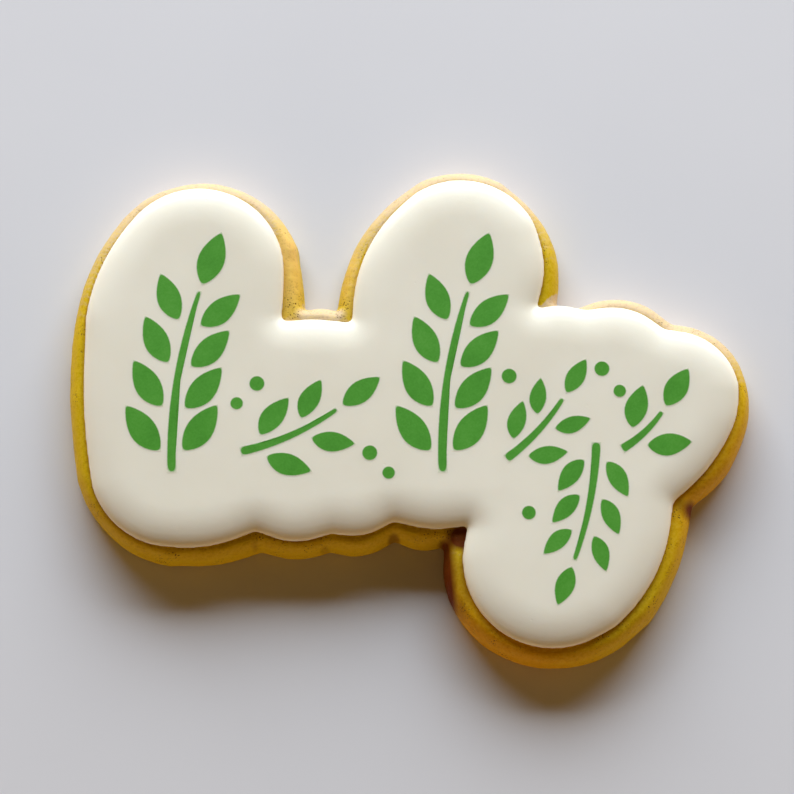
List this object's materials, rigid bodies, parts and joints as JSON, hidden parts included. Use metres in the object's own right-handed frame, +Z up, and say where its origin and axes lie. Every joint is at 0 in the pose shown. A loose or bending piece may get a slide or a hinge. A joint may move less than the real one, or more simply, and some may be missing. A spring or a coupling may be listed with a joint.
{
  "type": "iced sugar cookie",
  "caption": "Thick cut-out biscuit with scalloped lobes, topped by a puffy white icing layer and green stencilled leaf sprays.",
  "frame": {"origin": "on the flat underside, under the middle of the biscuit's outline", "axes": "+Z up through the icing, +X along the cookie's longer side, to the right as the picture shows it; +Y towards its two tall lobes"},
  "size_m": [0.1092, 0.0808, 0.009],
  "materials": {
    "biscuit": "matte",
    "icing": "satin",
    "stencil": "matte"
  },
  "bodies": {
    "root": {"biscuit": "biscuit", "icing": "icing", "stem_first": "stencil", "leaf_first_left_1": "stencil", "leaf_first_right_1": "stencil", "leaf_first_left_2": "stencil", "leaf_first_right_2": "stencil", "leaf_first_left_3": "stencil", "leaf_first_right_3": "stencil", "leaf_first_left_4": "stencil", "leaf_first_right_4": "stencil", "leaf_first_tip": "stencil", "stem_second": "stencil", "leaf_second_left_1": "stencil", "leaf_second_right_1": "stencil", "leaf_second_left_2": "stencil", "leaf_second_right_2": "stencil", "leaf_second_left_3": "stencil", "leaf_second_right_3": "stencil", "leaf_second_left_4": "stencil", "leaf_second_right_4": "stencil", "leaf_second_tip": "stencil", "stem_tail": "stencil", "leaf_tail_left_1": "stencil", "leaf_tail_right_1": "stencil", "leaf_tail_left_2": "stencil", "leaf_tail_right_2": "stencil", "leaf_tail_left_3": "stencil", "leaf_tail_right_3": "stencil", "leaf_tail_tip": "stencil", "stem_middle": "stencil", "leaf_middle_left_1": "stencil", "leaf_middle_right_1": "stencil", "leaf_middle_left_2": "stencil", "leaf_middle_right_2": "stencil", "leaf_middle_tip": "stencil", "stem_near_right": "stencil", "leaf_near_right_left_1": "stencil", "leaf_near_right_right_1": "stencil", "leaf_near_right_left_2": "stencil", "leaf_near_right_right_2": "stencil", "leaf_near_right_tip": "stencil", "stem_far_right": "stencil", "leaf_far_right_left_1": "stencil", "leaf_far_right_right_1": "stencil", "leaf_far_right_tip": "stencil", "berry_1": "stencil", "berry_2": "stencil", "berry_3": "stencil", "berry_4": "stencil", "berry_5": "stencil", "berry_6": "stencil", "berry_7": "stencil", "berry_8": "stencil"}
  },
  "joints": []
}
